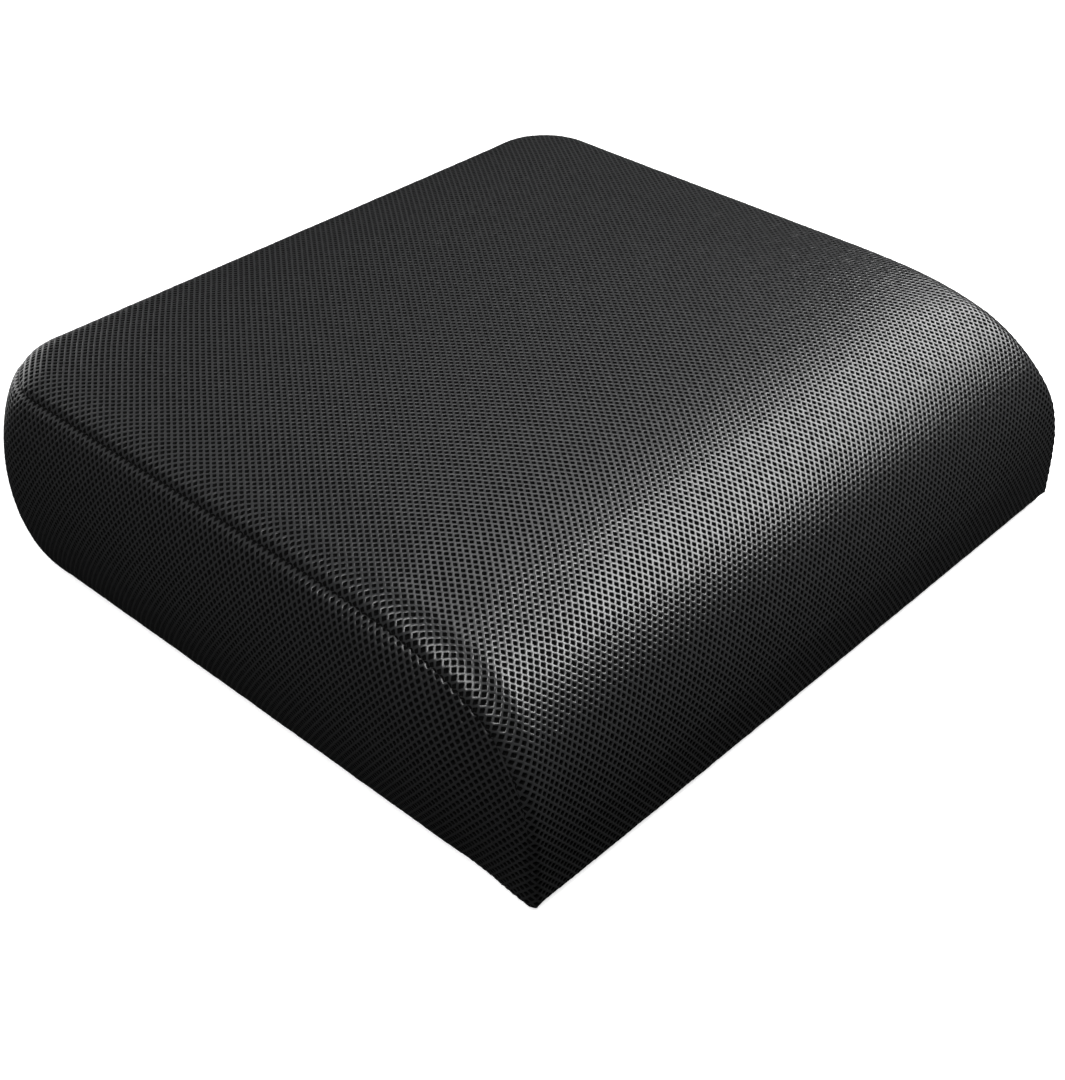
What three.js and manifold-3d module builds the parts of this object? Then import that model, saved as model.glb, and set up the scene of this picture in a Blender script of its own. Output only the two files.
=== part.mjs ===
// A thick foam seat cushion for an office chair, with a waterfall front and a zipped cover.
// Millimetres, +Z up. The front faces -Y and the origin is under the middle, on the floor.
import * as THREE from "three";
import { mergeVertices } from "three/addons/utils/BufferGeometryUtils.js";
import Module from "manifold-3d";

const wasm = await Module();
wasm.setup();

// ---- driving dimensions ----
const WIDTH = 457; // over the bulging sides
const DEPTH = 410; // from the front to the zipper's slider
const HEIGHT = 126; // floor to the top of the crown
const SIDE_BULGE = 11.5; // how far a side stands out between its seams
const BACK_BULGE = 5;
const CROWN = 4.7;
const TOP_RADIUS = 22.8; // edge of the top along the sides and the back
const BOTTOM_RADIUS = 13.4;
const FRONT_BOTTOM_SHARE = 0.4; // how much of that radius the front's bottom edge has
const BACK_CORNER_RADIUS = 46.6;
const WATERFALL_REACH = 185.7; // how far back the front starts to fall
const WATERFALL_POWER = 3.76; // 2 is an ellipse, more is squarer
const GAP = 0.3; // between pieces that touch

const COVER = 3; // thickness of the spacer mesh
const LINER = 0.8;
const SUPPORT_HEIGHT = 74; // top of the firm base layer
const SEAM_ANGLE = THREE.MathUtils.degToRad(54); // where the side seam sits on the top radius
const BACK_PANEL_HALF = 168; // half the width of the zipped back panels

const SLIDER_PROUD = 6.3; // the slider's bail over the back panel
const ZIP_OPENING_HALF = 10; // half the height of the slot that holds the zipper
const CHAIN_HALF_LENGTH = 160;
const COIL_SIZE = { across: 2.8, deep: 2 };
const TAPE_THICKNESS = 0.6;
const SPLIT_HALF = 0.6; // half the split between the two rows of coils

// ---- worked out from them ----
const SEAM_HALF_WIDTH = WIDTH / 2 - SIDE_BULGE;
const FLAT_HEIGHT = HEIGHT - CROWN;
const FRONT = -DEPTH / 2;
const BACK = DEPTH / 2 - SLIDER_PROUD; // the outermost line of the back panel
const BACK_SEAM = BACK - BACK_BULGE;
const WALL_TOP = FLAT_HEIGHT - TOP_RADIUS;
const ZIP_HEIGHT = (WALL_TOP + BOTTOM_RADIUS) / 2; // the back wall is upright here
const SEAM_INSET = TOP_RADIUS * (1 - Math.sin(SEAM_ANGLE));
const FAR = 1000; // larger than the object, for cutting boxes

// ---- solids ----

function solidOf(geometry) {
  const bare = geometry.clone();
  bare.deleteAttribute("normal");
  bare.deleteAttribute("uv");
  const merged = mergeVertices(bare, 1e-4);
  const mesh = new wasm.Mesh({
    numProp: 3,
    vertProperties: merged.attributes.position.array,
    triVerts: new Uint32Array(merged.index.array),
  });
  return new wasm.Manifold(mesh);
}

function geometryOf(solid) {
  const mesh = solid.getMesh();
  const geometry = new THREE.BufferGeometry();
  geometry.setAttribute("position", new THREE.BufferAttribute(mesh.vertProperties, 3));
  geometry.setIndex(new THREE.BufferAttribute(mesh.triVerts, 1));
  geometry.computeVertexNormals();
  return geometry;
}

// A box between two corners.
function box(low, high) {
  const size = high.map((value, axis) => value - low[axis]);
  const middle = high.map((value, axis) => (value + low[axis]) / 2);
  return solidOf(new THREE.BoxGeometry(...size).translate(...middle));
}

// A plate lying in the XZ plane between two depths.
function plate(shape, yLow, yHigh) {
  const geometry = new THREE.ExtrudeGeometry(shape, {
    depth: yHigh - yLow,
    bevelEnabled: false,
    curveSegments: 8,
  });
  return solidOf(geometry.rotateX(Math.PI / 2).translate(0, yHigh, 0));
}

// A closed surface through rings of equal length, listed from the bottom up.
function loft(rings) {
  const count = rings[0].length;
  const points = rings.flat();
  const faces = [];
  for (let ring = 0; ring + 1 < rings.length; ring++) {
    for (let i = 0; i < count; i++) {
      const a = ring * count + i;
      const b = ring * count + ((i + 1) % count);
      faces.push(a, b, b + count, a, b + count, a + count);
    }
  }
  const last = (rings.length - 1) * count;
  for (let i = 1; i + 1 < count; i++) {
    faces.push(0, i + 1, i);
    faces.push(last, last + i, last + i + 1);
  }
  const geometry = new THREE.BufferGeometry();
  const positions = new Float32Array(points.flatMap((point) => point.toArray()));
  geometry.setAttribute("position", new THREE.BufferAttribute(positions, 3));
  geometry.setIndex(faces);
  return geometry;
}

// ---- the cushion's form ----

// How far in from the front edge the falling front stands at a height.
function waterfallInset(z, height) {
  const share = THREE.MathUtils.clamp(z / height, 0, 1);
  const fall = (1 - share ** WATERFALL_POWER) ** (1 / WATERFALL_POWER);
  return WATERFALL_REACH * (1 - fall);
}

// One level of the form: a rectangle with round back corners, in one turn around.
function outline(level) {
  const { half, front, back, backRadius, frontRadius, z } = level;
  const corners = [
    [half - backRadius, back - backRadius, backRadius, 0],
    [-half + backRadius, back - backRadius, backRadius, 1],
    [-half + frontRadius, front + frontRadius, frontRadius, 2],
    [half - frontRadius, front + frontRadius, frontRadius, 3],
  ];
  const steps = 6;
  const ring = [];
  for (const [x, y, radius, quarter] of corners) {
    for (let step = 0; step <= steps; step++) {
      const angle = ((quarter + step / steps) * Math.PI) / 2;
      const px = x + radius * Math.cos(angle);
      const py = y + radius * Math.sin(angle);
      ring.push(new THREE.Vector3(px, py, z));
    }
  }
  return ring;
}

// The levels from the floor to the flat of the top, each with its inset from the seam line.
function levels() {
  const list = [];
  for (const degrees of [0, 30, 60]) {
    const angle = THREE.MathUtils.degToRad(degrees);
    const inset = BOTTOM_RADIUS * (1 - Math.sin(angle));
    list.push({ z: BOTTOM_RADIUS * (1 - Math.cos(angle)), inset, bulge: 0 });
  }
  const wallSteps = 6;
  for (let step = 0; step <= wallSteps; step++) {
    const share = step / wallSteps;
    const z = THREE.MathUtils.lerp(BOTTOM_RADIUS, WALL_TOP, share);
    list.push({ z, inset: 0, bulge: 4 * share * (1 - share) });
  }
  for (const degrees of [72, 54, 36, 18, 0]) {
    const angle = THREE.MathUtils.degToRad(degrees);
    const z = FLAT_HEIGHT - TOP_RADIUS * (1 - Math.cos(angle));
    list.push({ z, inset: TOP_RADIUS * (1 - Math.sin(angle)), bulge: 0 });
  }
  return list;
}

// The whole cushion as one solid, shrunk by an even skin: the cover, liner and foam use it.
function form(skin) {
  const shrink = (HEIGHT - 2 * skin) / HEIGHT;
  const rings = levels().map(({ z, inset, bulge }) => {
    const bottomInset = z < BOTTOM_RADIUS ? inset * FRONT_BOTTOM_SHARE : 0;
    const share = z / FLAT_HEIGHT;
    return outline({
      z: skin + z * shrink,
      half: SEAM_HALF_WIDTH - inset + SIDE_BULGE * bulge - skin,
      back: BACK_SEAM - inset + BACK_BULGE * bulge - skin,
      front: FRONT + Math.max(waterfallInset(z, FLAT_HEIGHT), bottomInset) + skin,
      backRadius: BACK_CORNER_RADIUS - inset / 2 - skin,
      frontRadius: 6 + 14 * share ** 4 + 18 * bulge - skin / 2,
    });
  });
  return solidOf(loft([...rings, ...crownRings(rings[rings.length - 1], CROWN * shrink)]));
}

// Ever smaller copies of the top's outline, rising to the crown.
function crownRings(top, crown) {
  const middle = new THREE.Vector3();
  top.forEach((point) => middle.add(point));
  middle.divideScalar(top.length);
  return [0.8, 0.55, 0.25, 0.02].map((scale) => {
    const rise = new THREE.Vector3(0, 0, crown * (1 - scale ** 2));
    return top.map((point) => point.clone().lerp(middle, 1 - scale).add(rise));
  });
}

const outer = form(0);
const lining = form(COVER + GAP);
const core = form(COVER + GAP + LINER + GAP);

// ---- materials ----

const finish = (color, roughness, metalness = 0) => ({ color, roughness, metalness });
const MESH_FABRIC = finish(0x16171a, 0.75);
const GRIP_FABRIC = finish(0x1b1b1d, 0.9);
const LINER_FABRIC = finish(0xd9d8d2, 0.95);
const SUPPORT_FOAM = finish(0x8e9196, 1);
const COMFORT_FOAM = finish(0xe6dfc8, 1);
const TAPE = finish(0x111114, 0.85);
const NYLON = finish(0x0c0c0e, 0.45);
const COATED_METAL = finish(0x1a1a1c, 0.35, 0.8);
const SATIN = finish(0xe9e9e6, 0.6);

const cushion = new THREE.Group();

function addMesh(name, geometry, material, parent = cushion) {
  const mesh = new THREE.Mesh(geometry, new THREE.MeshStandardMaterial(material));
  mesh.name = name;
  parent.add(mesh);
  return mesh;
}

const addSolid = (name, solid, material, parent) =>
  addMesh(name, geometryOf(solid), material, parent);

// ---- foam and liner ----

function addFoam() {
  const below = box([-FAR, -FAR, -FAR], [FAR, FAR, SUPPORT_HEIGHT]);
  const above = box([-FAR, -FAR, SUPPORT_HEIGHT + GAP], [FAR, FAR, FAR]);
  addSolid("support_foam", core.intersect(below), SUPPORT_FOAM);
  addSolid("comfort_foam", core.intersect(above), COMFORT_FOAM);
}

// The liner is a thin sock, open at the back behind the zipper.
function addLiner() {
  const mouth = box([-150, 0, ZIP_HEIGHT - 14], [150, FAR, ZIP_HEIGHT + 14]);
  const hollow = form(COVER + GAP + LINER);
  addSolid("core_liner", lining.subtract(hollow).subtract(mouth), LINER_FABRIC);
}

// ---- cover ----

// The upright prism inside the seam line, open to the front: the top panel lies within it.
function seamPrism(inset) {
  const plan = {
    half: SEAM_HALF_WIDTH - SEAM_INSET - inset,
    back: BACK_SEAM - SEAM_INSET - inset,
    front: -FAR,
    backRadius: BACK_CORNER_RADIUS - SEAM_INSET,
    frontRadius: 1,
  };
  return solidOf(loft([outline({ ...plan, z: 0 }), outline({ ...plan, z: FAR })]));
}

function addCover() {
  const shell = outer.subtract(form(COVER));
  const walls = shell.intersect(box([-FAR, -FAR, COVER + GAP], [FAR, FAR, FAR]));
  const band = walls.subtract(seamPrism(0));

  const bottomCut = box([-FAR, -FAR, -FAR], [FAR, FAR, COVER]);
  addSolid("bottom_panel", shell.intersect(bottomCut), GRIP_FABRIC);
  addSolid("top_panel", walls.intersect(seamPrism(GAP)), MESH_FABRIC);

  const joint = BACK_PANEL_HALF;
  const centreCut = box([-joint - GAP, 0, 0], [joint + GAP, FAR, FAR]);
  const sides = band.subtract(centreCut);
  addSolid("side_band_left", sides.intersect(box([-FAR, -FAR, 0], [0, FAR, FAR])), MESH_FABRIC);
  addSolid("side_band_right", sides.intersect(box([0, -FAR, 0], [FAR, FAR, FAR])), MESH_FABRIC);

  const slotLow = ZIP_HEIGHT - ZIP_OPENING_HALF;
  const slotHigh = ZIP_HEIGHT + ZIP_OPENING_HALF;
  const upperCut = box([-joint, 0, slotHigh], [joint, FAR, FAR]);
  const lowerCut = box([-joint, 0, 0], [joint, FAR, slotLow]);
  addSolid("back_band_upper", band.intersect(upperCut), MESH_FABRIC);
  addSolid("back_band_lower", band.intersect(lowerCut), MESH_FABRIC);
}

function addCareLabel() {
  const plane = BACK + 0.4;
  const label = box([124, plane, 20], [BACK_PANEL_HALF - 1, plane + 0.5, 44]);
  addSolid("care_label", label, SATIN);
}

// ---- zipper ----
// Its own frame has X along the chain, Y out of the cushion and Z up, at the back panel's face.

const tapeFace = -0.9; // outer face of the tapes
const coilLow = tapeFace + GAP;
const coilHigh = coilLow + COIL_SIZE.deep;
const chainHalfWidth = SPLIT_HALF + COIL_SIZE.across;
const closedEnd = -CHAIN_HALF_LENGTH + 8;

function addZipper() {
  const zipper = new THREE.Group();
  zipper.position.set(0, BACK, ZIP_HEIGHT);
  cushion.add(zipper);
  addTapes(zipper);
  addStopsAndTabs(zipper);
  zipper.add(makeSlider());
}

// The upper and lower tape, each with its row of nylon coil.
function addTapes(parent) {
  const outerEdge = ZIP_OPENING_HALF - GAP;
  const end = CHAIN_HALF_LENGTH;
  for (const [side, sign] of [["upper", 1], ["lower", -1]]) {
    const tape = box([-end, tapeFace - TAPE_THICKNESS, SPLIT_HALF], [end, tapeFace, outerEdge]);
    const coil = new THREE.ExtrudeGeometry(coilSection(), {
      depth: 2 * (end - 4),
      bevelEnabled: false,
      curveSegments: 6,
    });
    coil.rotateY(Math.PI / 2).translate(-end + 4, 0, 0);
    const placed = sign > 0 ? solidOf(coil) : solidOf(coil).mirror([0, 0, 1]);
    addSolid("zipper_tape_" + side, sign > 0 ? tape : tape.mirror([0, 0, 1]), TAPE, parent);
    addSolid("zipper_coil_" + side, placed, NYLON, parent);
  }
}

// The coil's outer shape across the chain: an oval, drawn so that its X becomes -Z when turned.
function coilSection() {
  const section = new THREE.Shape();
  const middle = (coilLow + coilHigh) / 2;
  const across = -(SPLIT_HALF + COIL_SIZE.across / 2);
  section.absellipse(across, middle, COIL_SIZE.across / 2, COIL_SIZE.deep / 2, 0, 2 * Math.PI);
  return section;
}

// A stop at each end of the chain, and a folded fabric tab that closes the slot's end.
function addStopsAndTabs(parent) {
  for (const [side, sign] of [["left", -1], ["right", 1]]) {
    const stop = box([0, tapeFace + GAP, -3.2], [2.4, coilHigh, 3.2]);
    const stopGeometry = geometryOf(stop).translate(-1.2 + sign * (CHAIN_HALF_LENGTH - 2.2), 0, 0);
    addMesh("zipper_stop_" + side, stopGeometry, COATED_METAL, parent);
    const inner = CHAIN_HALF_LENGTH + GAP;
    const tabHalf = ZIP_OPENING_HALF - GAP;
    const tab = box([inner, -2.2, -tabHalf], [BACK_PANEL_HALF, -0.4, tabHalf]);
    addSolid("zipper_tab_" + side, sign < 0 ? tab.mirror([1, 0, 0]) : tab, TAPE, parent);
  }
}

const WING = 1.2; // thickness of the slider's two plates
const wingHalfWidth = chainHalfWidth + 1.5;
const innerWing = [tapeFace - TAPE_THICKNESS - GAP - WING, tapeFace - TAPE_THICKNESS - GAP];
const outerWing = [coilHigh + GAP, coilHigh + GAP + WING];
const PULL_THICKNESS = 1.2;
const hingeY = outerWing[1] + GAP + PULL_THICKNESS / 2;
const bailOuterRadius = SLIDER_PROUD - hingeY;
const bailInnerRadius = bailOuterRadius - 1.05;
const BAIL_HALF_WIDTH = 0.8;
const SLIDER_HALF_LENGTH = 5.5;

// A shield, wide at the end where the coils part.
function wingShape() {
  const shape = new THREE.Shape();
  const narrow = wingHalfWidth - 1;
  shape.moveTo(-SLIDER_HALF_LENGTH + 1.5, -wingHalfWidth);
  shape.lineTo(1, -wingHalfWidth);
  shape.lineTo(SLIDER_HALF_LENGTH, -narrow);
  shape.lineTo(SLIDER_HALF_LENGTH, narrow);
  shape.lineTo(1, wingHalfWidth);
  shape.lineTo(-SLIDER_HALF_LENGTH + 1.5, wingHalfWidth);
  shape.absarc(-SLIDER_HALF_LENGTH + 1.5, wingHalfWidth - 1.5, 1.5, Math.PI / 2, Math.PI);
  shape.absarc(-SLIDER_HALF_LENGTH + 1.5, -wingHalfWidth + 1.5, 1.5, Math.PI, 1.5 * Math.PI);
  return shape;
}

// The arch that holds the pull, around the hinge line.
function bail() {
  const arch = new THREE.Shape();
  const foot = outerWing[1] - 0.5;
  arch.moveTo(bailOuterRadius, foot);
  arch.absarc(0, hingeY, bailOuterRadius, 0, Math.PI);
  arch.lineTo(-bailOuterRadius, foot);
  arch.lineTo(-bailInnerRadius, foot);
  arch.absarc(0, hingeY, bailInnerRadius, Math.PI, 0, true);
  arch.lineTo(bailInnerRadius, foot);
  const geometry = new THREE.ExtrudeGeometry(arch, {
    depth: 2 * BAIL_HALF_WIDTH,
    bevelEnabled: false,
    curveSegments: 10,
  });
  return solidOf(geometry.translate(0, 0, -BAIL_HALF_WIDTH));
}

function makeSlider() {
  const slider = new THREE.Group();
  slider.position.x = closedEnd;
  const wing = wingShape();
  const postHalf = SPLIT_HALF - 0.3;
  const railFoot = tapeFace + GAP;
  let body = plate(wing, ...innerWing);
  body = body.add(plate(wing, ...outerWing));
  body = body.add(box([-4.5, innerWing[0], -postHalf], [-1.5, outerWing[1], postHalf]));
  for (const sign of [-1, 1]) {
    const inside = sign * (wingHalfWidth - 0.9);
    const outside = sign * wingHalfWidth;
    const low = Math.min(inside, outside);
    const high = Math.max(inside, outside);
    body = body.add(box([-3.5, railFoot, low], [1, outerWing[1], high]));
  }
  body = body.add(bail());
  addSolid("zipper_slider", body, COATED_METAL, slider);
  addMesh("zipper_pull", pullGeometry(), COATED_METAL, slider);
  return slider;
}

// A flat leaf with a window for the bail and a round hole near its tip.
function pullGeometry() {
  const leaf = new THREE.Shape();
  const length = 26;
  const barHalf = PULL_THICKNESS / 2;
  leaf.moveTo(-barHalf, -2.6);
  leaf.lineTo(length - 3.4, -3.4);
  leaf.absarc(length - 3.4, 0, 3.4, -Math.PI / 2, Math.PI / 2);
  leaf.lineTo(-barHalf, 2.6);
  const window = new THREE.Path();
  const windowHalf = BAIL_HALF_WIDTH + 0.35;
  window.moveTo(barHalf, -windowHalf);
  window.lineTo(barHalf, windowHalf);
  window.lineTo(bailOuterRadius + 0.5, windowHalf);
  window.lineTo(bailOuterRadius + 0.5, -windowHalf);
  const eye = new THREE.Path();
  eye.absarc(length - 3.8, 0, 1.4, 0, 2 * Math.PI, true);
  leaf.holes.push(window, eye);
  const leafSolid = plate(leaf, hingeY - barHalf, hingeY + barHalf);
  return geometryOf(leafSolid);
}

addFoam();
addLiner();
addCover();
addCareLabel();
addZipper();

export default cushion;
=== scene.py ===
"""The looks of a thick black office seat cushion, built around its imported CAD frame.

Lengths in this script are in millimetres along the frame's own axes, and turn into metres
when a mesh, light or camera is made. The waterfall front faces -Y.

Each fabric panel is a flat cut, a closed loop of seam points in its own (u, v), and a
function that lays (u, v) on the cushion. A net of knitted cells is cut to the loop and laid
the same way, so that neighbouring panels meet in the groove of their seam.
"""
import math

import bmesh
import bpy
import numpy as np
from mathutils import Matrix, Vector
from mathutils.bvhtree import BVHTree
from mathutils.kdtree import KDTree


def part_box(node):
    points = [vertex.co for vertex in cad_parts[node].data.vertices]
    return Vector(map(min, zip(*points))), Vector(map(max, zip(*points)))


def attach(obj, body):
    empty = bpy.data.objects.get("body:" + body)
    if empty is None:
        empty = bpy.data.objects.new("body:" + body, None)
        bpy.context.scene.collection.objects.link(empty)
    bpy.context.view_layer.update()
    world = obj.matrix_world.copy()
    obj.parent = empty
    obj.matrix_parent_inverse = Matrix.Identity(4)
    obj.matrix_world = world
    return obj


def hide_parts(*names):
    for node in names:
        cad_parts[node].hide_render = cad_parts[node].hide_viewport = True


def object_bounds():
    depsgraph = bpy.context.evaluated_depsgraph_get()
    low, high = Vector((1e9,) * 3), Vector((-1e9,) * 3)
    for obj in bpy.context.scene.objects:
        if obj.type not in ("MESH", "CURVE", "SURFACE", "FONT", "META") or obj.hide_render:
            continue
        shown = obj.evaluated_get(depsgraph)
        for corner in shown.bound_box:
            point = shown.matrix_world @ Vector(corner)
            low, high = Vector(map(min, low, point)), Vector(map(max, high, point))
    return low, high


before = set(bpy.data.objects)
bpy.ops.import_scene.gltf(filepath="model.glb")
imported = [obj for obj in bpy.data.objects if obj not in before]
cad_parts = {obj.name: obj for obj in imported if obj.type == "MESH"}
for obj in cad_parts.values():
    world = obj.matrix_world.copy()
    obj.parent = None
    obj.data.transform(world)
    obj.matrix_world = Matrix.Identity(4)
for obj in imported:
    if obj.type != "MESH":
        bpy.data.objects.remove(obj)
cad_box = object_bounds()

MM = 0.001
rng = np.random.default_rng(7)

# ---- sizes from the frame ----


def box_mm(node):
    low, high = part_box(node)
    return np.array(low) / MM, np.array(high) / MM


LOW, HIGH = (np.array(corner) / MM for corner in cad_box)
FRONT = LOW[1]
BACK = box_mm("back_band_upper")[1][1]
BACK_PANEL_HALF = box_mm("back_band_upper")[1][0]
SLOT_LOW = box_mm("back_band_lower")[1][2]
SLOT_HIGH = box_mm("back_band_upper")[0][2]
ZIP_HEIGHT = (SLOT_LOW + SLOT_HIGH) / 2

# ---- driving dimensions, as in the CAD model ----

SIDE_BULGE = 11.5
BACK_BULGE = 5.0
CROWN = 4.7
TOP_RADIUS = 22.8
BOTTOM_RADIUS = 13.4
BACK_CORNER_RADIUS = 46.6
WATERFALL_REACH = 185.7
WATERFALL_POWER = 3.76
SEAM_ANGLE = math.radians(54)

# ---- the looks' own dimensions ----

BOTTOM_SEAM_ANGLE = math.radians(56)
FRONT_SEAM_RADIUS = 6.0  # of the edge along the side seam, down at the floor
FRONT_LIP_RADIUS = 6.0  # of the front's bottom edge
FRONT_FADE = 60.0  # behind the front seam, over which the side's bulge grows
CORNER_FADE = 45.0  # along the outline, over which the bottom edge gets its full radius
CROWN_LENGTH = 345.0  # from the back seam to where the crown has died away
GRIP = 0.8  # height of the grip dots that the underside stands on
CELL = np.array([3.81, 2.47])  # of the knit: hole to hole along a row, and row to row
HOLE = np.array([1.15, 1.42])  # half width and half height of a hole
RIM_DEPTH = 0.25  # of a hole's rim below the knots
PIT_DEPTH = 2.0  # of a hole's bottom below the knots
KNOT_UNEVEN = 0.04  # spread of the knots' heights
RIM_UNEVEN = 0.05  # spread of the holes' sizes, as a share
GROOVE_DEPTH = 1.1  # of a seam's valley
GROOVE_WIDTH = 1.1
BINDING_RADIUS = 0.9  # of the rolled edge at the bottom of the valley
SEAM_STEP = 1.5  # between the points of a seam
PULL_REACH = 3.5  # from a seam, over which a panel is drawn onto its line
PUCKER = 0.15  # how far the cloth waves in and out beside a seam
PUCKER_REACH = 8.0
SWELL_CAP = 2.2  # how far the filling may press the cover out
VOXEL = 6.0  # of the remeshed body that is pressed out
HELD_REACH = 4.5  # how near to a seam the body is held
FOAM_INSET = 6.0  # inside the cover
LINER_INSET = 5.0
DOT_PITCH = np.array([12.0, 6.0])  # of the rubber dots: along a row, and row to row
DOT_MARGIN = 14.0  # from the underside's edge

# ---- worked out from them ----

SEAM_HALF = HIGH[0] - SIDE_BULGE
FLAT = HIGH[2] - CROWN
BACK_SEAM = BACK - BACK_BULGE
SEAM_SHARE = 1 - math.sin(SEAM_ANGLE)  # a seam's inset, as a share of its edge radius
TOP_INSET = TOP_RADIUS * SEAM_SHARE
BOTTOM_INSET = BOTTOM_RADIUS * (1 - math.cos(BOTTOM_SEAM_ANGLE))
SEAM_Z = GRIP + BOTTOM_RADIUS * (1 - math.sin(BOTTOM_SEAM_ANGLE))  # height of the bottom seam

# places along the plan's outline, from the front round the left side to the back's middle
SIDE_LENGTH = BACK_SEAM - BACK_CORNER_RADIUS - FRONT
CORNER_LENGTH = BACK_CORNER_RADIUS * math.pi / 2
BACK_STRAIGHT = SEAM_HALF - BACK_CORNER_RADIUS  # half the straight length of the back
BACK_MIDDLE = SIDE_LENGTH + CORNER_LENGTH + BACK_STRAIGHT
BAND_LENGTH = BACK_MIDDLE - BACK_PANEL_HALF


def smooth(t):
    t = np.clip(t, 0, 1)
    return t * t * (3 - 2 * t)


def mix(a, b, t):
    return a + (b - a) * t


def unit(vectors):
    return vectors / np.maximum(np.linalg.norm(vectors, axis=1), 1e-9)[:, None]


def outward(count):
    """Normals of the back panels, which face straight back."""
    return np.tile([0.0, 1.0, 0.0], (count, 1))


# ---- meshes ----


def into_scene(obj):
    bpy.context.scene.collection.objects.link(obj)
    return obj


def make_object(name, points, faces):
    """A mesh object from points in millimetres and face arrays, each of equal corner counts."""
    mesh = bpy.data.meshes.new(name)
    corners = np.concatenate([f.ravel() for f in faces])
    sizes = np.concatenate([np.full(len(f), f.shape[1]) for f in faces])
    mesh.vertices.add(len(points))
    mesh.vertices.foreach_set("co", (np.asarray(points, float) * MM).ravel())
    mesh.loops.add(len(corners))
    mesh.loops.foreach_set("vertex_index", corners)
    mesh.polygons.add(len(sizes))
    mesh.polygons.foreach_set("loop_start", np.concatenate([[0], np.cumsum(sizes)[:-1]]))
    mesh.polygons.foreach_set("use_smooth", np.ones(len(sizes), bool))
    mesh.update(calc_edges=True)
    mesh.validate()
    return into_scene(bpy.data.objects.new(name, mesh))


def grid_faces(rows, columns):
    """Quads between the points of a grid."""
    corner = (np.arange(rows - 1)[:, None] * columns + np.arange(columns - 1)).ravel()
    return np.column_stack([corner, corner + columns, corner + columns + 1, corner + 1])


def ring_faces(rings, count):
    """Quads between each ring of points and the next one."""
    step = np.arange(count)
    after = (step + 1) % count
    first = np.column_stack([step, step + count, after + count, after])
    return np.concatenate([first + count * i for i in range(rings - 1)])


def circle(count):
    """Points round a circle of radius 1."""
    turn = np.arange(count) / count * 2 * math.pi
    return np.column_stack([np.cos(turn), np.sin(turn)])


def add_uv(obj, flat):
    """A UV map from each vertex's place on the flat cut, for baking."""
    low, high = flat.min(0), flat.max(0)
    uv = 0.01 + 0.98 * (flat - low) / (high - low).max()
    corners = np.zeros(len(obj.data.loops), int)
    obj.data.loops.foreach_get("vertex_index", corners)
    layer = obj.data.uv_layers.new(name="OFBake")
    layer.data.foreach_set("uv", uv[corners].ravel())


def add_value(obj, name, values):
    attribute = obj.data.attributes.new(name, "FLOAT", "POINT")
    attribute.data.foreach_set("value", np.asarray(values, float))


def place(obj, *nodes, body="cushion", slot=None, material=None, fill=None):
    """Hooks a piece to its body, hides the CAD nodes it stands for and gives it its material; its slot
    is not used.
    """
    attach(obj, body)
    if nodes:
        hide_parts(*nodes)
    if material:
        obj.data.materials.append(material)
    return obj


# ---- the cushion's surfaces ----


def front_profile():
    """The middle line of the top panel from the back seam to the front's bottom seam.

    Returns the length along it and its y, z and outward normal (ny, nz)."""
    back_end = BACK_SEAM - TOP_INSET
    fall_start = FRONT + WATERFALL_REACH
    y = [np.linspace(back_end, fall_start, 400)[:-1]]
    z = [np.full(399, FLAT)]
    angle = np.linspace(0, math.pi / 2, 4000)
    fall_y = FRONT + WATERFALL_REACH * (1 - np.sin(angle) ** (2 / WATERFALL_POWER))
    fall_z = GRIP + (FLAT - GRIP) * np.cos(angle) ** (2 / WATERFALL_POWER)
    lip_height = GRIP + FRONT_LIP_RADIUS
    kept = fall_z > lip_height
    y.append(fall_y[kept])
    z.append(fall_z[kept])
    turn = np.linspace(0, math.pi / 4, 30)
    y.append(fall_y[kept][-1] + FRONT_LIP_RADIUS * (1 - np.cos(turn)))
    z.append(lip_height - FRONT_LIP_RADIUS * np.sin(turn))
    y, z = np.concatenate(y), np.concatenate(z)
    s = np.concatenate([[0], np.cumsum(np.hypot(np.diff(y), np.diff(z)))])
    even = np.linspace(0, s[-1], 1500)
    y, z = np.interp(even, s, y), np.interp(even, s, z)
    dy, dz = np.gradient(y, even), np.gradient(z, even)
    soft = np.ones(9) / 9
    ny, nz = (np.convolve(np.pad(n, 4, mode="edge"), soft, "valid") for n in (dz, -dy))
    return even, y, z, ny, nz


PROFILE = front_profile()
TOP_LENGTH = PROFILE[0][-1]


def along_profile(s):
    return (np.interp(s, PROFILE[0], column) for column in PROFILE[1:])


def edge_radius(nz):
    """The radius of the top's side edge, smaller where the panel has turned down."""
    return mix(FRONT_SEAM_RADIUS, TOP_RADIUS, smooth(nz * 1.15))


def inset_in_plan(x, y):
    """How far a point lies inside the plan's outline, which has round back corners."""
    centre_x = SEAM_HALF - BACK_CORNER_RADIUS
    centre_y = BACK_SEAM - BACK_CORNER_RADIUS
    past_x, past_y = np.abs(x) - centre_x, y - centre_y
    corner = BACK_CORNER_RADIUS - np.hypot(past_x, past_y)
    straight = np.minimum(SEAM_HALF - np.abs(x), BACK_SEAM - y)
    return np.where((past_x > 0) & (past_y > 0), corner, straight)


def top_surface(uv):
    """u is x, and v the length along the middle line from the back seam."""
    x, s = uv[:, 0], uv[:, 1]
    y, z, ny, nz = along_profile(s)
    radius = edge_radius(nz)
    inside = inset_in_plan(x, BACK_SEAM - TOP_INSET - s)
    over = np.clip(radius - inside, 0, radius)
    drop = radius - np.sqrt(radius**2 - over**2)
    across = np.clip(1 - (x / (SEAM_HALF - TOP_RADIUS)) ** 2, 0, 1)
    lengthwise = np.clip(1 - (2 * s / CROWN_LENGTH - 1) ** 2, 0, 1)
    rise = CROWN * across * lengthwise - drop
    return np.column_stack([x, y + ny * rise, z + nz * rise])


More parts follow.
